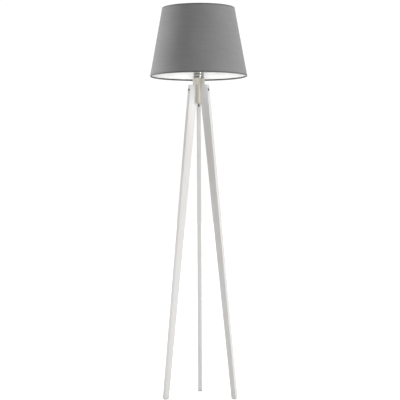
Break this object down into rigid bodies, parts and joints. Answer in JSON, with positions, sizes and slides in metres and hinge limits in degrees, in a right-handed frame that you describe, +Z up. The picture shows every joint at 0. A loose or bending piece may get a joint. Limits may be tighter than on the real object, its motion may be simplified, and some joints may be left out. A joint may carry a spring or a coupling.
{
  "type": "tripod floor lamp",
  "caption": "Floor lamp on a white wooden tripod, with a screw-in bulb holder on the head block and a conical grey fabric shade clamped to it.",
  "frame": {"origin": "on the floor, under the shade's axis, at the centre of the tripod", "axes": "+Z up along the shade's axis; +Y towards the rear leg; the two front legs lie to -X and +X"},
  "size_m": [0.3989, 0.399, 1.592],
  "materials": {
    "white_lacquered_wood": "white lacquer, satin",
    "limed_wood": "limed and satin varnished",
    "glide_plastic": "smooth",
    "nail_steel": "zinc plated",
    "bolt_steel": "black oxide",
    "insert_brass": "turned",
    "dowel_wood": "raw beech",
    "zinc_steel": "zinc plated",
    "holder_metal": "satin nickel",
    "porcelain": "glazed",
    "contact_brass": "stamped",
    "white_plastic": "moulded",
    "white_wire": "white powder coat",
    "grey_fabric": "fine plain weave",
    "liner_film": "white film",
    "bulb_metal": "nickel plated",
    "insulator_glass": "black, glossy",
    "bulb_plastic": "moulded",
    "board_green": "circuit board",
    "board_white": "white solder mask",
    "chip_yellow": "phosphor",
    "opal": "opal diffuser"
  },
  "bodies": {
    "stand": {"leg_left": "white_lacquered_wood", "leg_right": "white_lacquered_wood", "leg_rear": "white_lacquered_wood", "head_block": "limed_wood", "foot_glides": "glide_plastic", "glide_nails": "nail_steel", "leg_bolts": "bolt_steel", "threaded_inserts": "insert_brass", "leg_dowels": "dowel_wood", "threaded_tube": "zinc_steel", "tube_nut": "zinc_steel", "tube_washer": "zinc_steel", "holder_cap": "holder_metal", "terminal_block": "porcelain", "terminal_screws": "contact_brass", "centre_contact": "contact_brass", "screw_shell": "contact_brass", "holder_skirt": "holder_metal"},
    "shade": {"carrier_ring": "white_wire", "carrier_arms": "white_wire", "lower_rim_wire": "white_wire", "upper_rim_wire": "white_wire", "shade_fabric": "grey_fabric", "shade_liner": "liner_film", "lower_hem": "grey_fabric", "upper_hem": "grey_fabric"},
    "clamp_ring": {"clamp_ring": "white_plastic"},
    "bulb_tip": {"bulb_contact": "bulb_metal"},
    "bulb": {"bulb_insulator": "insulator_glass", "bulb_cap": "bulb_metal", "bulb_housing": "bulb_plastic", "driver_board": "board_green", "led_board": "board_white", "led_chips": "chip_yellow", "bulb_globe": "opal"}
  },
  "joints": [
    {"name": "shade_turn", "type": "hinge", "parent": "stand", "child": "shade", "pos_m": [0, 0, 1.335], "axis": [0, 0, 1], "continuous": true},
    {"name": "clamp_ring_turn", "type": "hinge", "parent": "stand", "child": "clamp_ring", "pos_m": [0, 0, 1.34], "axis": [0, 0, 1], "range_deg": [0, 360]},
    {"name": "bulb_rise", "type": "slide", "parent": "stand", "child": "bulb_tip", "axis": [0, 0, 1], "range_m": [0, 0.0146]},
    {"name": "bulb_turn", "type": "hinge", "parent": "bulb_tip", "child": "bulb", "pos_m": [0, 0, 1.356], "axis": [0, 0, 1], "range_deg": [0, 1440]}
  ],
  "couplings": [
    {"joint": "bulb_rise", "follows": "bulb_turn", "m_per_rad": 0.00057757}
  ]
}
